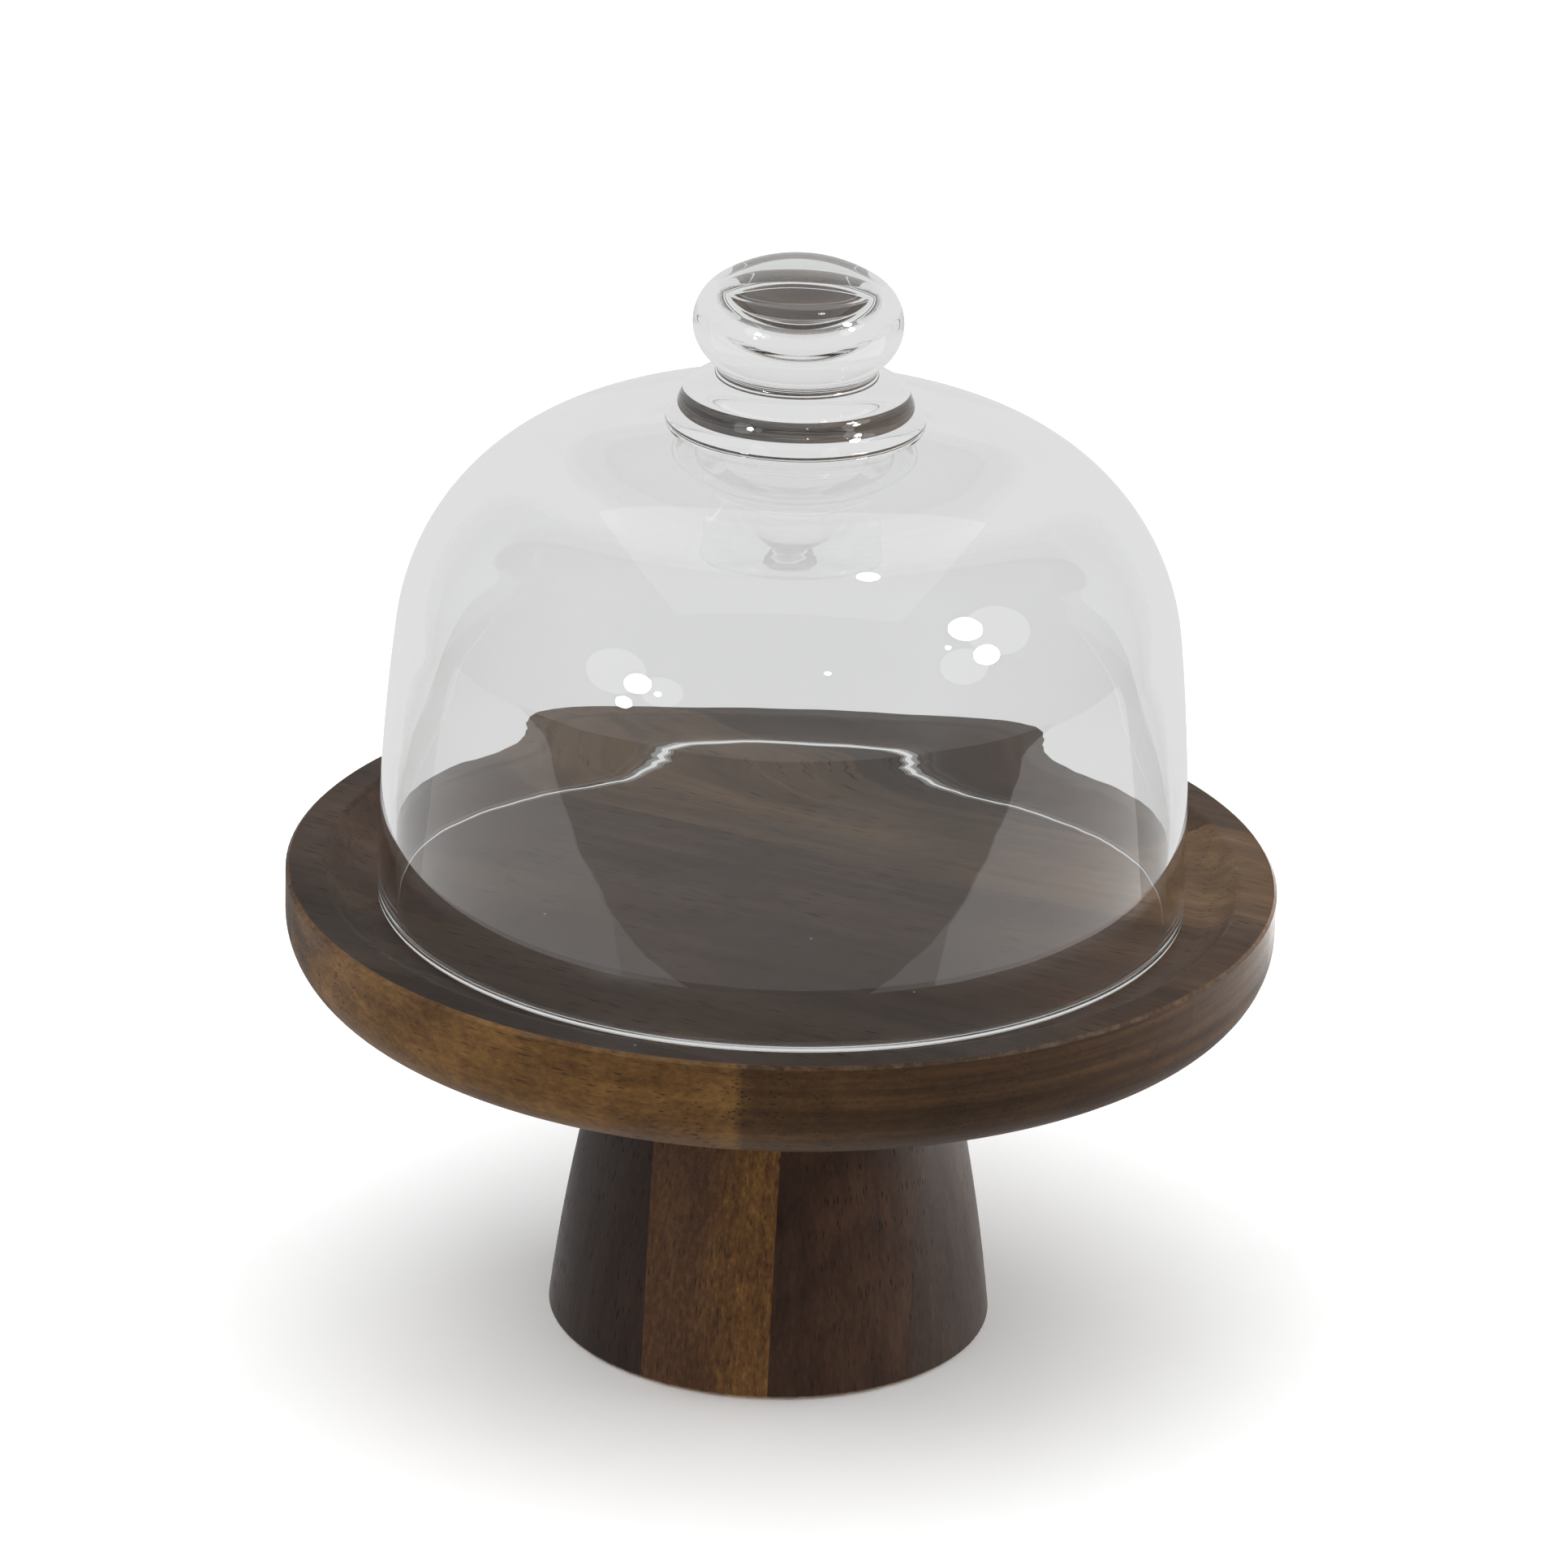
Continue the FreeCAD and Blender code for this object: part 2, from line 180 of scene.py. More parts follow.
def wood(name, seed, tones, slabs, upright, figure, speckle):
    """Stained open-pored hardwood. Grain runs along the board, or up the stave if upright.
    figure is how strong the growth bands are, speckle how strong the mottling is.
    Returns what its finish is made from."""
    material, n, output = new_material(name)
    turn, first, width = slabs
    picks = random.Random(seed)
    place = n.add("ShaderNodeTexCoord").outputs["Object"]
    turned = n.add("ShaderNodeMapping", {"Vector": place, "Rotation": (0, 0, -turn)}).outputs[0]
    along, across, deep = n.split(turned)
    if upright:
        along, deep = deep, along
    local = n.joined(along, across, deep)
    shift = tuple(picks.uniform(-9, 9) for _ in range(3))

    # growth bands round a pith that lies below and beside the board
    sway = n.noise(n.stretched(local, (5, 22, 22), shift), detail=2)
    aside = n.math("SUBTRACT", across, first + width * picks.uniform(0.1, 0.9))
    below = n.math("ADD", deep, picks.uniform(35, 70) * MM)
    reach = n.math("SQRT", n.math("ADD", n.product(aside, aside), n.product(below, below)))
    ring = n.math("ADD", reach, n.product(sway, 9 * MM))
    rings = n.joined(n.product(ring, 260), n.product(along, 3), seed * 1.7)
    band = n.span(n.noise(rings, detail=3, roughness=0.6), 0.36, 0.66, smooth=True)

    # patches, streaks, mottling and fibres, from the broadest to the finest
    sand = 420 if upright else 110
    clouds = n.noise(n.stretched(local, (14, 40, 40), shift), detail=3, roughness=0.55)
    streaks = n.noise(n.stretched(local, (16, 420, 420), shift), detail=3, roughness=0.6)
    mottle = n.noise(n.stretched(local, (sand, 950, 950), shift), detail=4, roughness=0.7)
    fibre = n.noise(n.stretched(local, (55, 2200, 2200), shift), detail=2, roughness=0.6)
    parts = [(band, figure), (clouds, 0.9), (streaks, 0.55), (mottle, speckle), (fibre, 0.3)]
    colour = n.ramp(n.summed(parts), tones)

    # pores: short dashes along the grain, dots where it ends
    cells = n.cells(n.stretched(local, (150, 1500, 1500), shift))
    chosen = n.span(n.split(cells["Color"])[0], 0.45, 0.7)
    pore = n.product(n.span(cells["Distance"], 0.16, 0.36, 1.0, 0.0), chosen)
    pore = n.product(pore, n.span(clouds, 0.34, 0.6, 0.2, 1.0))

    # glue lines beside the neighbours
    share = n.math("FRACT", n.math("DIVIDE", n.math("SUBTRACT", across, first), width))
    off_middle = n.math("ABSOLUTE", n.math("SUBTRACT", share, 0.5))
    from_joint = n.product(n.math("SUBTRACT", 0.5, off_middle), width)
    glue = n.span(from_joint, 0.03 * MM, 0.14 * MM, 0.3, 0.0)
    return SimpleNamespace(
        material=material, n=n, output=output, place=place, local=local, shift=shift,
        colour=colour, clouds=clouds, mottle=mottle, fibre=fibre, pore=pore, glue=glue,
    )


def varnish(stock, colour, glue, pale_edge):
    """Pores, glue lines, pale edges and dust over the colour, and a satin finish. The pale edges are wear
    on the foot, and a painted highlight along the plate's top edge.
    """
    n, place, fibre, pore = stock.n, stock.place, stock.fibre, stock.pore
    colour = n.mix(n.product(pore, 0.8), colour, WOOD_SHADOW)
    colour = n.mix(glue, colour, WOOD_SHADOW)
    # pale edges: wear on the foot, a painted highlight along the plate's top edge
    colour = n.mix(pale_edge, colour, BARE_WOOD_AND_HIGHLIGHT)
    motes = n.cells(n.stretched(place, (150, 150, 150)))
    rare = n.math("GREATER_THAN", n.split(motes["Color"])[0], 0.94)
    mote = n.product(n.span(motes["Distance"], 0.025, 0.05, 1.0, 0.0), rare)
    colour = n.mix(n.product(mote, 0.55), colour, DUST)

    smears = n.noise(n.stretched(place, (22, 30, 30)), detail=3, roughness=0.6)
    satin = n.span(fibre, 0.3, 0.7, 0.42, 0.5)
    roughness = n.math("ADD", satin, n.span(smears, 0.35, 0.7, -0.05, 0.07))
    roughness = n.math("ADD", roughness, n.product(pore, 0.25))
    smooth = n.noise(n.stretched(stock.local, (30, 60, 60), stock.shift), detail=1)
    normal = n.bump(smooth, 0.25, 0.25 * MM)
    normal = n.bump(fibre, 0.2, 0.03 * MM, normal)
    normal = n.bump(n.math("SUBTRACT", 1.0, pore), 0.5, 0.05 * MM, normal)
    inputs = {"Base Color": colour, "Roughness": roughness, "Normal": normal}
    shader = n.add("ShaderNodeBsdfPrincipled", inputs)
    shader.inputs["IOR"].default_value = 1.4
    shader.inputs["Specular IOR Level"].default_value = 0.15
    n.tree.links.new(shader.outputs[0], stock.output.inputs["Surface"])


def patchy_edge(n, place, edge, low, high, least, most):
    """The edge, broken up in patches: worn on the foot, a painted highlight on the plate's top edge."""
    breakup = n.noise(n.stretched(place, (300, 300, 300)), detail=4, roughness=0.75)
    return n.product(edge, n.span(breakup, low, high, least, most))


def dress(node, material):
    """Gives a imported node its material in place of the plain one."""
    mesh = NODES[node].data
    mesh.materials.clear()
    mesh.materials.append(material)


PLATE_TOP = {
    1: (rgb(27, 19, 14), rgb(42, 31, 24), rgb(57, 43, 33)),
    2: (rgb(28, 20, 15), rgb(44, 33, 25), rgb(60, 45, 35)),
    3: (rgb(29, 21, 16), rgb(47, 34, 26), rgb(64, 48, 37)),
    4: (rgb(31, 23, 18), rgb(49, 37, 30), rgb(68, 53, 42)),
    5: (rgb(37, 28, 22), rgb(64, 50, 39), rgb(90, 72, 55)),
    6: (rgb(28, 21, 17), rgb(44, 34, 28), rgb(60, 48, 39)),
}
PLATE_SIDE = (rgb(32, 21, 13), rgb(53, 37, 24), rgb(76, 54, 35))
GOLDEN_SIDE = (rgb(62, 41, 22), rgb(98, 69, 37), rgb(130, 95, 53))
GOLDEN_BOARDS = (1, 2)
# painted light: how much lighter the plate is made towards the right, as if lit from that side
PAINTED_RIGHT_LIGHT = (2.1, 1.95, 1.6, 1.0)


def plate_wood(number):
    """The top takes the stain darker than the side does. The side is golden and speckled at the left front.
    The whole plate is painted lighter towards the right, as if lit from that side, and a pale highlight is
    painted along its top edge."""
    board = wood(
        f"plate_wood_{number}", number, PLATE_TOP[number], BOARDS, upright=False, figure=0.13, speckle=0.3
    )
    n, place = board.n, board.place
    x, y, z = n.split(place)
    radius = n.math("SQRT", n.math("ADD", n.product(x, x), n.product(y, y)))
    grain = n.noise(n.stretched(place, (13, 13, 330)), detail=4, roughness=0.65)
    blotches = n.noise(n.stretched(place, (55, 55, 90)), detail=3, roughness=0.6)
    specks = n.noise(n.stretched(place, (480, 480, 900)), detail=4, roughness=0.7)
    side = n.ramp(n.summed([(grain, 1.5), (blotches, 0.4), (specks, 0.4)]), PLATE_SIDE)
    if number in GOLDEN_BOARDS:
        # from the left to a joint near the front, and faintly some way past it
        azimuth = n.math("ARCTAN2", x, n.product(y, -1.0))
        waver = n.product(n.math("SUBTRACT", blotches, 0.5), 0.7)
        start, full = math.radians(-86), math.radians(-58)
        left = n.span(n.math("ADD", azimuth, waver), start, full, smooth=True)
        right = n.span(azimuth, math.radians(-4.5), math.radians(-3.4), 1.0, 0.25)
        fade = n.span(azimuth, math.radians(-3), math.radians(26), 1.0, 0.0, smooth=True)
        right = n.product(right, fade)
        golden = n.ramp(n.summed([(blotches, 1.0), (specks, 0.9), (grain, 0.5)]), GOLDEN_SIDE)
        side = n.mix(n.product(left, right), side, golden)
    outside = n.span(radius, 98.9 * MM, 99.3 * MM)
    underneath = n.span(z, 92.0 * MM, 91.0 * MM, 0.0, 1.0)
    outer = n.math("MAXIMUM", outside, underneath)
    colour = n.mix(outer, board.colour, side)
    # painted light: lighter towards the right, where light falls from that side
    rightward = n.math("ADD", x, n.product(blotches, 12 * MM))
    painted_light = n.span(rightward, 40 * MM, 108 * MM, smooth=True)
    colour = n.mix(painted_light, colour, PAINTED_RIGHT_LIGHT, "MULTIPLY")
    glue = n.product(board.glue, n.span(outer, 0.0, 1.0, 1.0, 0.25))
    # painted highlight: a thin pale line along the plate's sharp top edge, broken up in patches
    edge = n.product(n.span(radius, 99.2 * MM, 99.45 * MM), n.span(z, 97.2 * MM, 97.5 * MM))
    varnish(board, colour, glue, patchy_edge(n, place, edge, 0.46, 0.7, 0.0, 0.4))
    dress(f"plate_board_{number}", board.material)


FOOT_TONES = {
    1: (rgb(25, 16, 13), rgb(39, 27, 22), rgb(53, 38, 30)),
    2: (rgb(60, 38, 20), rgb(104, 71, 38), rgb(152, 114, 60)),
    3: (rgb(36, 22, 16), rgb(60, 40, 29), rgb(83, 58, 42)),
    4: (rgb(38, 26, 20), rgb(63, 46, 36), rgb(86, 65, 51)),
}
RED_TONES = (rgb(44, 27, 18), rgb(70, 46, 31), rgb(96, 67, 43))
GOLDEN_STAVE = 2


def foot_wood(number):
    """The golden stave is flecked, and reddish beside the next one."""
    golden = number == GOLDEN_STAVE
    figure, speckle = (0.1, 1.1) if golden else (0.2, 0.5)
    stave = wood(
        f"foot_wood_{number}", 20 + number, FOOT_TONES[number], STAVES, upright=True, figure=figure,
        speckle=speckle,
    )
    n, place, colour = stave.n, stave.place, stave.colour
    edge = n.span(n.split(place)[2], 0.75 * MM, 1.2 * MM, 1.0, 0.0)
    pale_edge = patchy_edge(n, place, edge, 0.45, 0.6, 0.05, 0.75)
    if golden:
        across = n.split(stave.local)[1]
        far = STAVES[1] + GOLDEN_STAVE * STAVES[2]
        patchy = n.math("ADD", across, n.product(stave.clouds, 16 * MM))
        red = n.span(patchy, far - 9 * MM, far + 1 * MM, 0.9, 0.0, smooth=True)
        tone = n.ramp(n.summed([(stave.mottle, 1.0), (stave.clouds, 0.8)]), RED_TONES)
        colour = n.mix(red, colour, tone)
    varnish(stave, colour, stave.glue, pale_edge)
    dress(f"foot_stave_{number}", stave.material)


for number in PLATE_TOP:
    plate_wood(number)
for number in FOOT_TONES:
    foot_wood(number)


# --- metal ------------------------------------------------------------------------------------


def metal(name, colour, tint, roughness):
    """Plated or turned metal with fine tool marks round its axis and a mottled finish."""
    material, n, output = new_material(name)
    place = n.add("ShaderNodeTexCoord").outputs["Object"]
    marks = n.noise(n.stretched(place, (150, 150, 5200)), detail=3, roughness=0.6)
    stains = n.noise(n.stretched(place, (420, 420, 420)), detail=4, roughness=0.6)
    shade = n.mix(n.span(stains, 0.35, 0.7), colour, tint)
    rough = n.span(marks, 0.3, 0.7, roughness - 0.06, roughness + 0.08)
    rough = n.math("ADD", rough, n.span(stains, 0.4, 0.7, 0.0, 0.1))
    inputs = {"Base Color": shade, "Metallic": 1.0, "Roughness": rough}
    inputs["Normal"] = n.bump(marks, 0.3, 0.02 * MM)
    shader = n.add("ShaderNodeBsdfPrincipled", inputs)
    n.tree.links.new(shader.outputs[0], output.inputs["Surface"])
    return material


dress("hanger_bolt", metal("zinc_steel", rgb(196, 198, 200), rgb(166, 164, 150), 0.34))
dress("threaded_insert", metal("insert_brass", rgb(208, 170, 96), rgb(150, 112, 58), 0.3))


# --- outlines and turned meshes ---------------------------------------------------------------


def bend(line, end, radius, left, turn=math.radians(2.5), stride=1.5 * MM):
    """Carries the line on to end by an arc of that radius, curving to the left or right.
    No step turns or measures more than turn and stride."""
    start, end = Vector(line[-1]), Vector(end)
    across = end - start
    half = across.length / 2
    side = 1 if left else -1
    normal = Vector((-across.y, across.x)).normalized() * side
    centre = (start + end) / 2 + normal * math.sqrt(max(radius**2 - half**2, 0.0))
    first = math.atan2(start.y - centre.y, start.x - centre.x)
    sweep = 2 * math.asin(min(1.0, half / radius)) * side
    count = max(2, math.ceil(abs(sweep) / turn), math.ceil(radius * abs(sweep) / stride))
    for step in range(1, count):
        angle = first + sweep * step / count
        line.append((centre.x + radius * math.cos(angle), centre.y + radius * math.sin(angle)))
    line.append(tuple(end))


def straight(line, end, stride=1.0 * MM):
    """Carries the line straight on to end, by steps no longer than stride."""
    start, end = Vector(line[-1]), Vector(end)
    count = max(1, math.ceil((end - start).length / stride))
    for step in range(1, count + 1):
        line.append(tuple(start.lerp(end, step / count)))


def bell(radius, base, base_lean, wall_height, wall_lean, shoulder_start, shoulder_bend, shoulder_lean):
    """Wall, shoulder and crown as three arcs: corners and radii from the rim up.
    The leans are in degrees from the vertical."""
    leans = (base_lean, wall_lean, shoulder_start, shoulder_lean)
    base_lean, wall_lean, shoulder_start, shoulder_lean = (math.radians(lean) for lean in leans)
    wall_bend = wall_height / (math.sin(wall_lean) - math.sin(base_lean))
    wall_top = (radius - wall_bend * (math.cos(base_lean) - math.cos(wall_lean)), base + wall_height)
    shoulder_top = (
        wall_top[0] - shoulder_bend * (math.cos(shoulder_start) - math.cos(shoulder_lean)),
        wall_top[1] + shoulder_bend * (math.sin(shoulder_lean) - math.sin(shoulder_start)),
    )
    crown_bend = shoulder_top[0] / math.cos(shoulder_lean)
    crown = (0.0, shoulder_top[1] + crown_bend * (1 - math.sin(shoulder_lean)))
    return [(radius, base), wall_top, shoulder_top, crown], [wall_bend, shoulder_bend, crown_bend]


def turned_mesh(name, line, sides):
    """A mesh turned about Z from an outline that starts on the axis, and ends on it or where it began."""
    mesh = bmesh.new()
    rings = []
    on_axis = 1e-7
    for radius, height in line:
        if radius < on_axis:
            rings.append([mesh.verts.new((0, 0, height))])
            continue
        angles = (2 * math.pi * side / sides for side in range(sides))
        rings.append([mesh.verts.new((radius * math.cos(a), radius * math.sin(a), height)) for a in angles])
    for lower, upper in zip(rings, rings[1:]):
        for side in range(sides):
            after = (side + 1) % sides
            corners = [
                lower[side % len(lower)], lower[after % len(lower)],
                upper[after % len(upper)], upper[side % len(upper)],
            ]
            mesh.faces.new(list(dict.fromkeys(corners)))
    bmesh.ops.recalc_face_normals(mesh, faces=mesh.faces)
    for face in mesh.faces:
        face.smooth = True
    data = bpy.data.meshes.new(name)
    mesh.to_mesh(data)
    mesh.free()
    piece = bpy.data.objects.new(name, data)
    bpy.context.scene.collection.objects.link(piece)
    return piece


# --- glass ------------------------------------------------------------------------------------


# the dome's sizes, in millimetres and degrees
RIM_BASE, WALL_BASE, RIM_ROUND = 92.8, 93.6, 0.6
DOME_RADIUS, GLASS_AT_RIM = 81.6, 4.3
OUTSIDE = dict(
    radius=DOME_RADIUS, base=WALL_BASE, base_lean=0.0, wall_height=56.2, wall_lean=6.8,
    shoulder_start=6.8, shoulder_bend=47.9, shoulder_lean=81.9,
)
INSIDE = dict(
    radius=DOME_RADIUS - GLASS_AT_RIM, base=WALL_BASE, base_lean=0.1, wall_height=53.6, wall_lean=10.9,
    shoulder_start=1.6, shoulder_bend=32.0, shoulder_lean=74.0,
)
KNOB = dict(radius=20.8, half_height=12.85, side_bend=9.5, middle_above_crown=19.1, neck_bend=1.5)
COLLAR = dict(slope=27.0, shoulder=22.3, waist=23.4, side=3.1, widest=25.8, foot_round=0.9)
COLLAR_EASING, INSIDE_EASING = 14, 9
ARC_STEP, COLLAR_STEP, RIM_STEP = 1.5, 0.4, 0.6
AIR_UNDER_RIM = 0.04
DOME_SIDES = 320


def eased(line, passes):
    """The line with its changes of bend spread out, as in pressed glass, between its fixed ends."""
    for _ in range(passes):
        triples = zip(line, line[1:], line[2:])
        middle = [tuple((a + 2 * b + c) / 4 for a, b, c in zip(*points)) for points in triples]
        line = [line[0], *middle, line[-1]]
    return line


def knob_and_collar(crown, crown_bend):
    """From the top of the knob to the collar's foot on the crown."""
    side, radius, half = KNOB["side_bend"], KNOB["radius"], KNOB["half_height"]
    middle = crown + KNOB["middle_above_crown"]
    side_centre = radius - side
    top_bend = (side_centre**2 + half**2 - side**2) / ((half - side) * 2)
    drop = top_bend - half
    out = side_centre + side_centre * side / (top_bend - side)
    up = drop * side / (top_bend - side)
    neck, slope = KNOB["neck_bend"], math.radians(COLLAR["slope"])
    neck_centre = (
        out + side_centre * neck / (top_bend - side),
        middle - up - drop * neck / (top_bend - side),
    )
    collar_top = (neck_centre[0] - neck * math.sin(slope), neck_centre[1] - neck * math.cos(slope))
    shoulder, foot_round = COLLAR["shoulder"], COLLAR["foot_round"]
    shoulder_height = collar_top[1] - (shoulder - collar_top[0]) * math.tan(slope)
    seat = COLLAR["widest"] - foot_round
    seat_height = crown - crown_bend + math.sqrt(crown_bend**2 - seat**2)

    line = [(0.0, middle + half)]
    bend(line, (out, middle + up), top_bend, False, stride=ARC_STEP)
    bend(line, (radius, middle), side, False, stride=ARC_STEP)
    bend(line, (out, middle - up), side, False, stride=ARC_STEP)
    bend(line, collar_top, neck, True, stride=ARC_STEP)
    start = len(line)
    straight(line, (shoulder, shoulder_height), stride=COLLAR_STEP)
    straight(line, (COLLAR["waist"], shoulder_height - COLLAR["side"]), stride=COLLAR_STEP)
    straight(line, (COLLAR["widest"], seat_height + foot_round), stride=COLLAR_STEP)
    line[start:] = eased(line[start:], COLLAR_EASING)
    bend(line, (seat, seat_height), foot_round, False, stride=ARC_STEP)
    return line


def glass_outline():
    """From the top of the knob down the outside, round the rim, and up the inside to the crown."""
    outside, outside_bends = bell(**OUTSIDE)
    inside, inside_bends = bell(**INSIDE)
    line = knob_and_collar(outside[-1][1], outside_bends[-1])
    for end, radius in zip(outside[2::-1], outside_bends[::-1]):
        bend(line, end, radius, False, stride=ARC_STEP)
    straight(line, (DOME_RADIUS, RIM_BASE + RIM_ROUND))
    bend(line, (DOME_RADIUS - RIM_ROUND, RIM_BASE), RIM_ROUND, False, stride=ARC_STEP)
    inner = DOME_RADIUS - GLASS_AT_RIM
    straight(line, (inner + RIM_ROUND, RIM_BASE), stride=RIM_STEP)
    bend(line, (inner, RIM_BASE + RIM_ROUND), RIM_ROUND, False, stride=ARC_STEP)
    straight(line, inside[0])
    start = len(line)
    for end, radius in zip(inside[1:], inside_bends):
        bend(line, end, radius, True, stride=ARC_STEP)
    upper = line[start:]
    beyond = [(-radius, height) for radius, height in reversed(upper[:-1])]
    line[start:] = eased(upper + beyond, INSIDE_EASING)[: len(upper)]
    lowest = RIM_BASE + AIR_UNDER_RIM
    return [(radius * MM, max(height, lowest) * MM) for radius, height in line]


def glass_material():
    """Clear pressed glass with a faint green tint, slow waves in its surface and small specks."""
    material, n, output = new_material("clear_glass")
    place = n.add("ShaderNodeTexCoord").outputs["Object"]
    waves = n.noise(n.stretched(place, (38, 38, 60)), detail=1.5, roughness=0.4)
    ripple = n.noise(n.stretched(place, (16, 16, 220)), detail=1, roughness=0.4)
    normal = n.bump(waves, 0.08, 1.0 * MM)
    normal = n.bump(ripple, 0.02, 0.3 * MM, normal)
    dust = n.noise(n.stretched(place, (700, 700, 700)), detail=2)
    roughness = n.span(dust, 0.72, 0.8, 0.0, 0.06)
    glass = n.add("ShaderNodeBsdfPrincipled", {"Normal": normal, "Roughness": roughness})
    glass.inputs["Base Color"].default_value = (0.972, 0.98, 0.976, 1.0)
    glass.inputs["Transmission Weight"].default_value = 1.0
    glass.inputs["IOR"].default_value = 1.5
    clear = n.add("ShaderNodeBsdfTransparent", {"Color": (0.96, 0.965, 0.96, 1.0)})
    lamp_ray = n.add("ShaderNodeLightPath").outputs["Is Shadow Ray"]
    both = n.add("ShaderNodeMixShader", {0: lamp_ray, 1: glass.outputs[0], 2: clear.outputs[0]})
    n.tree.links.new(both.outputs[0], output.inputs["Surface"])
    return material


dome = turned_mesh("glass_dome", glass_outline(), DOME_SIDES)
dome.data.materials.append(glass_material())
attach(dome, "dome")
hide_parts("dome_shell", "dome_knob")


# --- felt -------------------------------------------------------------------------------------


def felt_material():
    """Pressed grey felt: mixed fibres, soft nap and a pressed, slightly soiled face."""
    material, n, output = new_material("grey_felt")
    place = n.add("ShaderNodeTexCoord").outputs["Object"]
    fibres = n.noise(n.stretched(place, (1900, 1900, 1900)), detail=4, roughness=0.7, distortion=1.6)
    clumps = n.noise(n.stretched(place, (260, 260, 260)), detail=3, roughness=0.6)
    shade = n.mix(n.span(fibres, 0.34, 0.68), rgb(58, 58, 60), rgb(112, 112, 112))
    shade = n.mix(n.span(clumps, 0.35, 0.7, 0.0, 0.35), shade, rgb(70, 66, 62))
    normal = n.bump(fibres, 0.6, 0.15 * MM)
    shader = n.add("ShaderNodeBsdfPrincipled", {"Base Color": shade, "Roughness": 0.95, "Normal": normal})
    shader.inputs["Sheen Weight"].default_value = 0.35
    shader.inputs["Sheen Roughness"].default_value = 0.6
    n.tree.links.new(shader.outputs[0], output.inputs["Surface"])
    return material


PAD_SIDES = 192


def felt_pad():
    """A die-cut disc with soft edges and an uneven pressed face."""
    low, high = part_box("felt_pad")
    radius, thick, soft = high.x, high.z, 0.35 * MM
    line = [(0.0, 0.0)]
    straight(line, (radius - soft, 0.0), stride=1.5 * MM)
    bend(line, (radius, soft), soft, True, turn=math.radians(18))
    straight(line, (radius, thick - soft), stride=0.4 * MM)
    bend(line, (radius - soft, thick), soft, True, turn=math.radians(18))
    straight(line, (0.0, thick), stride=1.5 * MM)
    pad = turned_mesh("felt_disc", line, PAD_SIDES)
    picks = random.Random(7)
    for vertex in pad.data.vertices:
        inward = 1 - picks.uniform(0.0, 0.0015)
        vertex.co.x, vertex.co.y = vertex.co.x * inward, vertex.co.y * inward
        if vertex.co.z < thick / 2:
            vertex.co.z += picks.uniform(0.0, 0.04 * MM)
    return pad


pad = felt_pad()
pad.data.materials.append(felt_material())
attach(pad, "stand")
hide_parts("felt_pad")


# --- studio -----------------------------------------------------------------------------------


# the room as the object sees it and as the camera does, and the floor's paper
ROOM_GLOW, ROOM_SEEN, FLOOR_SHADE = 0.75, 1.02, 1.2
# the rays that a lamp is hidden from, if it only lights matt surfaces or is only seen in gloss
NOT_GLOSSY = ("camera", "glossy", "transmission")
ONLY_GLOSSY = ("camera", "diffuse", "transmission")


def plain(name, glow, shade=0.0):
    """Matt paper of that shade, faintly uneven, where it is seen directly.
    Everything else sees an even surface of that glow."""
    material, n, output = new_material(name)
    place = n.add("ShaderNodeTexCoord").outputs["Object"]
    level = n.span(n.noise(n.stretched(place, (90, 90, 90)), detail=3), 0.3, 0.7, 0.985 * shade, shade)
    paper = n.add("ShaderNodeBsdfDiffuse", {"Color": n.joined(level, level, level)})
    lit = n.add("ShaderNodeEmission", {"Color": (glow, glow, glow, 1.0), "Strength": 1.0})
    direct = n.add("ShaderNodeLightPath").outputs["Is Camera Ray"]
    both = n.add("ShaderNodeMixShader", {0: direct, 1: lit.outputs[0], 2: paper.outputs[0]})
    n.tree.links.new(both.outputs[0], output.inputs["Surface"])
    material.cycles.emission_sampling = "NONE"
    return material


def sheet(name, corners, material):
    """A flat piece of the studio."""
    data = bpy.data.meshes.new(name)
    data.from_pydata(corners, [], [tuple(range(len(corners)))])
    data.materials.append(material)
    thing = bpy.data.objects.new(name, data)
    bpy.context.scene.collection.objects.link(thing)
    return thing


def look_at(thing, place, target):
    thing.location = place
    thing.rotation_mode = "QUATERNION"
    thing.rotation_quaternion = (Vector(target) - Vector(place)).to_track_quat("-Z", "Y")


def lamp(name, place, width, height, power, hidden, shape="RECTANGLE", target=(0, 0, 0.12)):
    """An area light that faces the dome or its target. hidden names the rays that don't meet it."""
    data = bpy.data.lights.new(name, "AREA")
    data.shape = shape
    data.size = width
    data.size_y = height
    data.energy = power
    light = bpy.data.objects.new(name, data)
    bpy.context.scene.collection.objects.link(light)
    look_at(light, place, target)
    for ray in hidden:
        setattr(light, f"visible_{ray}", False)
    return light


def around(azimuth, elevation, distance):
    """A place round the dome, azimuth 0 in front and rising to the right, elevation above the horizon."""
    dome_height = 0.13
    azimuth, elevation = math.radians(azimuth), math.radians(elevation)
    flat = distance * math.cos(elevation)
    height = dome_height + distance * math.sin(elevation)
    return (flat * math.sin(azimuth), -flat * math.cos(azimuth), height)


def world():
    """Evenly pale room, lighter where it is seen directly."""
    room = bpy.data.worlds.new("pale_room")
    bpy.context.scene.world = room
    room.use_nodes = True
    room.node_tree.nodes.clear()
    n = Nodes(room.node_tree)
    direct = n.add("ShaderNodeLightPath").outputs["Is Camera Ray"]
    level = n.span(direct, 0.0, 1.0, ROOM_GLOW, ROOM_SEEN)
    sky = n.add("ShaderNodeBackground", {"Color": n.joined(level, level, level), "Strength": 1.0})
    n.add("ShaderNodeOutputWorld", {"Surface": sky.outputs[0]})


world()
floor_corners = [(-6, -6, 0), (6, -6, 0), (6, 6, 0), (-6, 6, 0)]
sheet("floor", floor_corners, plain("pale_paper", ROOM_GLOW, FLOOR_SHADE))

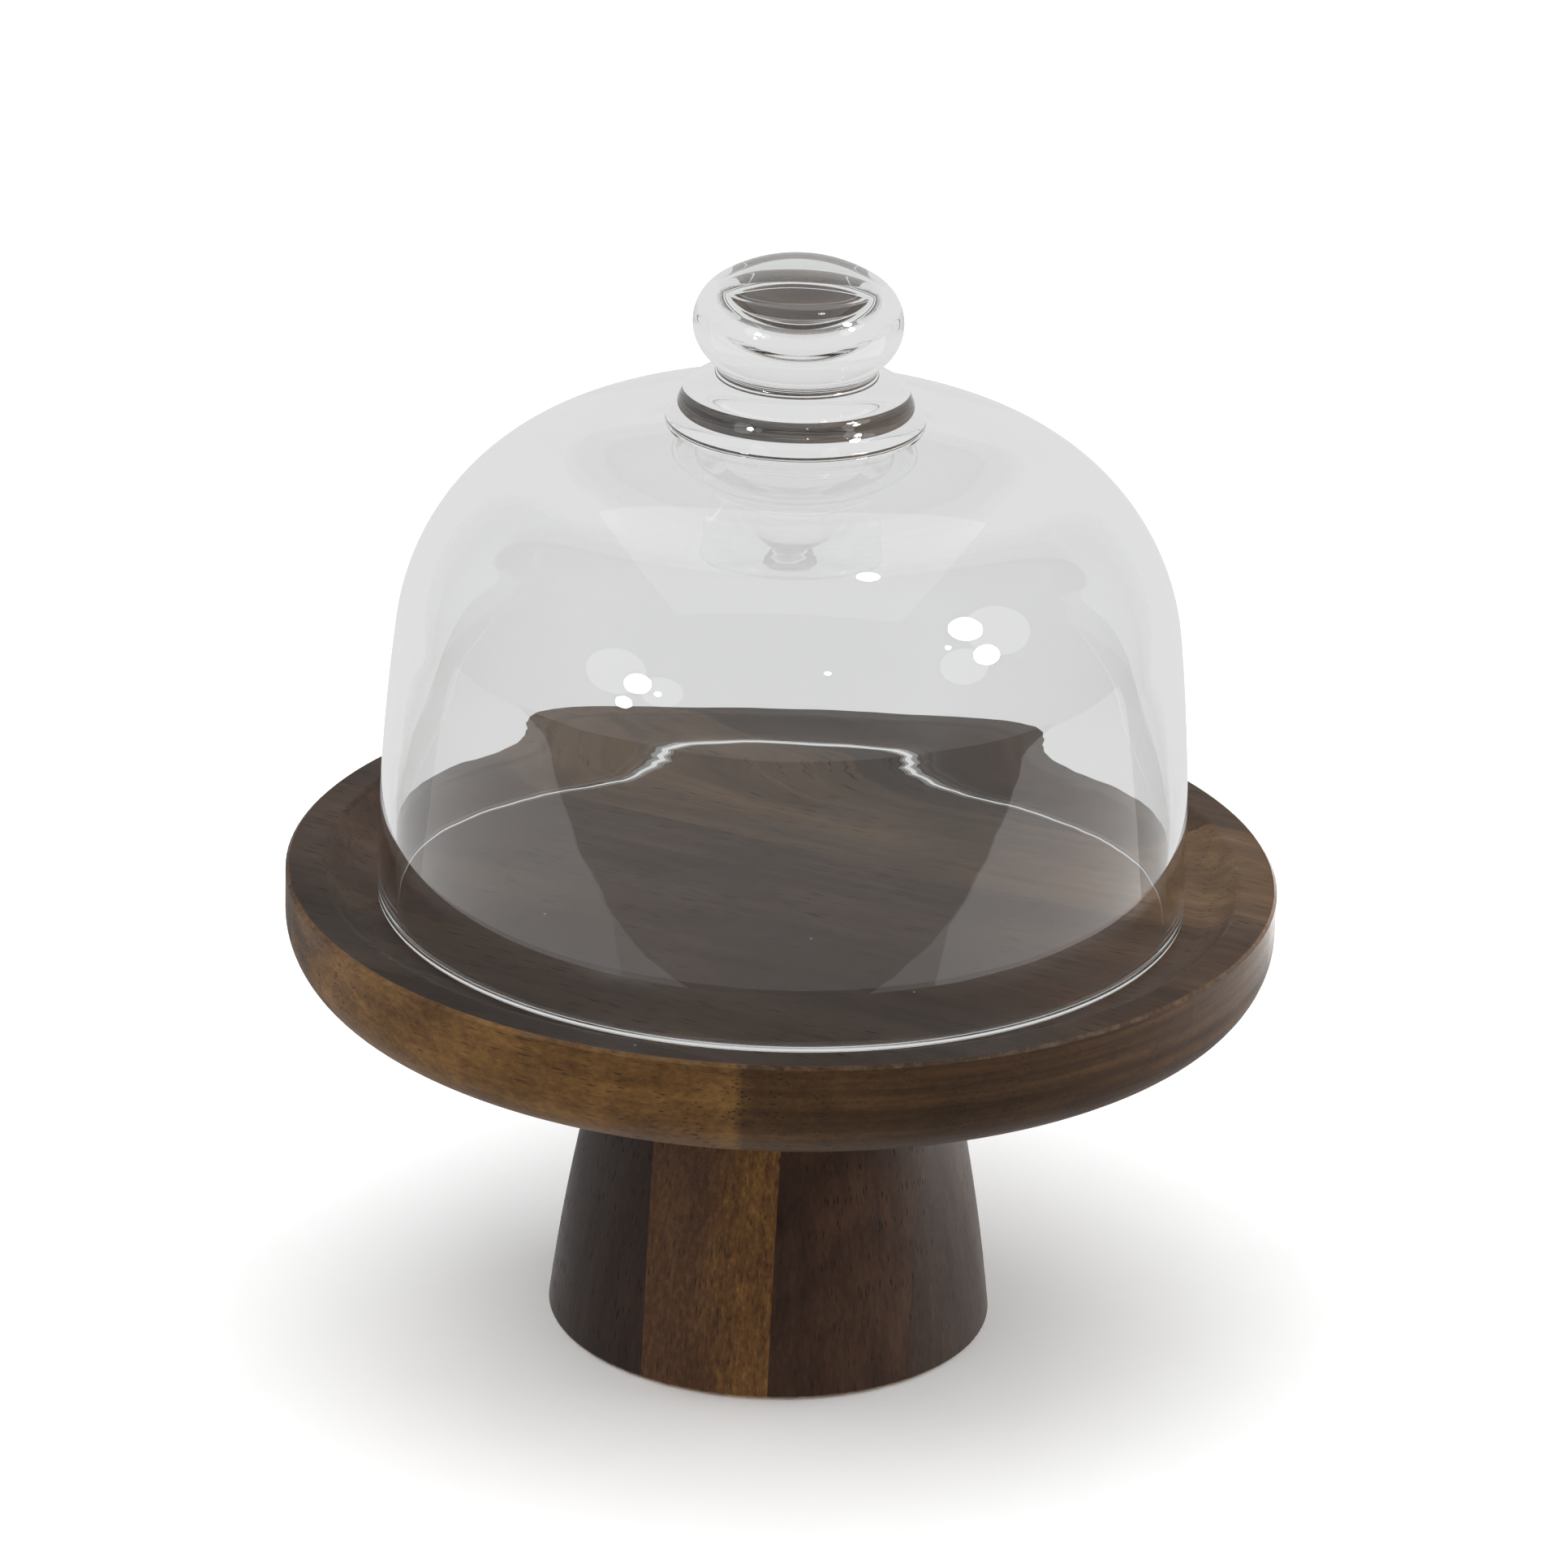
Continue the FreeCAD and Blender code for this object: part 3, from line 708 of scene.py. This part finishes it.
# what the dome reflects low down: glow and corners of each table top, which only reflections see
TABLE = {
    "front_table": (0.03, [(-2.0, -2.2), (2.0, -2.2), (2.0, -0.325), (-2.0, -0.325)]),
    "left_table": (
        1.15,
        [(-0.17, -0.24), (-0.275, -0.07), (-0.27, 0.1), (-1.6, 0.5), (-1.6, -0.32), (-0.3, -0.32)],
    ),
    "right_table": (
        1.6,
        [(0.17, -0.24), (0.3, -0.32), (1.6, -0.32), (1.6, 0.5), (0.27, 0.1), (0.275, -0.07)],
    ),
}
for name, (glow, corners) in TABLE.items():
    card = sheet(name, [(x, y, 0.002) for x, y in corners], plain(f"{name}_cloth", glow))
    for ray in ("camera", "diffuse", "transmission", "volume_scatter", "shadow"):
        setattr(card, f"visible_{ray}", False)

lamp("top_softbox", (0.0, 0.1, 1.7), 1.8, 1.8, 7.5, ("camera", "transmission"))
lamp("left_softbox", around(-112, 18, 1.5), 1.2, 0.9, 4.0, NOT_GLOSSY)
lamp("right_softbox", around(108, 18, 1.5), 1.2, 0.9, 7.0, NOT_GLOSSY)

# sheen that only the wood takes
wooden = bpy.data.collections.new("wooden")
for node, piece in NODES.items():
    if node.startswith(("plate_", "foot_")):
        wooden.objects.link(piece)
for strip in (
    lamp("left_strip", around(-112, 1, 1.5), 1.2, 0.25, 3.0, ONLY_GLOSSY),
    lamp("right_strip", around(108, 1, 1.5), 1.2, 0.3, 22.0, ONLY_GLOSSY),
    lamp("right_glow", (0.42, 0.75, 0.004), 0.7, 1.1, 34.0, ONLY_GLOSSY, target=(0.42, 0.75, 1.0)),
):
    strip.light_linking.receiver_collection = wooden
lamp("front_softbox", around(-40, 45, 1.7), 1.0, 1.0, 4.0, NOT_GLOSSY)

# highlights on the glass: azimuth, elevation, width and power of discs, then of their soft glows
SPOT_DISTANCE = 1.6
SPOTS = [
    (-45, 22, 0.22, 6.0), (-47, 13, 0.14, 1.6), (-38, 20, 0.06, 0.2),
    (67, 42, 0.27, 8.0), (66, 30, 0.22, 5.0), (56, 38, 0.05, 0.15),
    (72, 74, 0.14, 0.6), (13, 36, 0.05, 0.15),
    (76, 36, 0.55, 1.2), (57, 29, 0.4, 0.7), (-53, 24, 0.5, 1.0), (-37, 21, 0.35, 0.5),
]
for number, (azimuth, elevation, width, power) in enumerate(SPOTS):
    place = around(azimuth, elevation, SPOT_DISTANCE)
    lamp(f"spot_{number}", place, width, width, power, ONLY_GLOSSY, "DISK")


def camera():
    """At the photograph's viewing angle. It looks at a point on the object's axis, with a slight tilt."""
    data = bpy.data.cameras.new("camera")
    data.sensor_width = 36.0
    data.lens = 164.2
    data.clip_start, data.clip_end = 0.05, 50.0
    eye = bpy.data.objects.new("camera", data)
    bpy.context.scene.collection.objects.link(eye)
    aim, distance, rise = Vector((0, 0, 0.1)), 1.4437, 0.39109
    roll, pitch, yaw = 0.031, 0.01007, -0.00028
    place = aim + distance * Vector((0, -math.cos(rise), math.sin(rise)))
    towards = (aim - place).to_track_quat("-Z", "Y").to_matrix()
    tilt = Matrix.Rotation(roll, 3, "Z") @ Matrix.Rotation(pitch, 3, "X") @ Matrix.Rotation(yaw, 3, "Y")
    eye.matrix_world = Matrix.Translation(place) @ (towards @ tilt).to_4x4()
    bpy.context.scene.camera = eye


camera()
scene = bpy.context.scene
scene.view_settings.view_transform = "Standard"
scene.cycles.max_bounces = 32
scene.cycles.glossy_bounces = 24
scene.cycles.transmission_bounces = 32
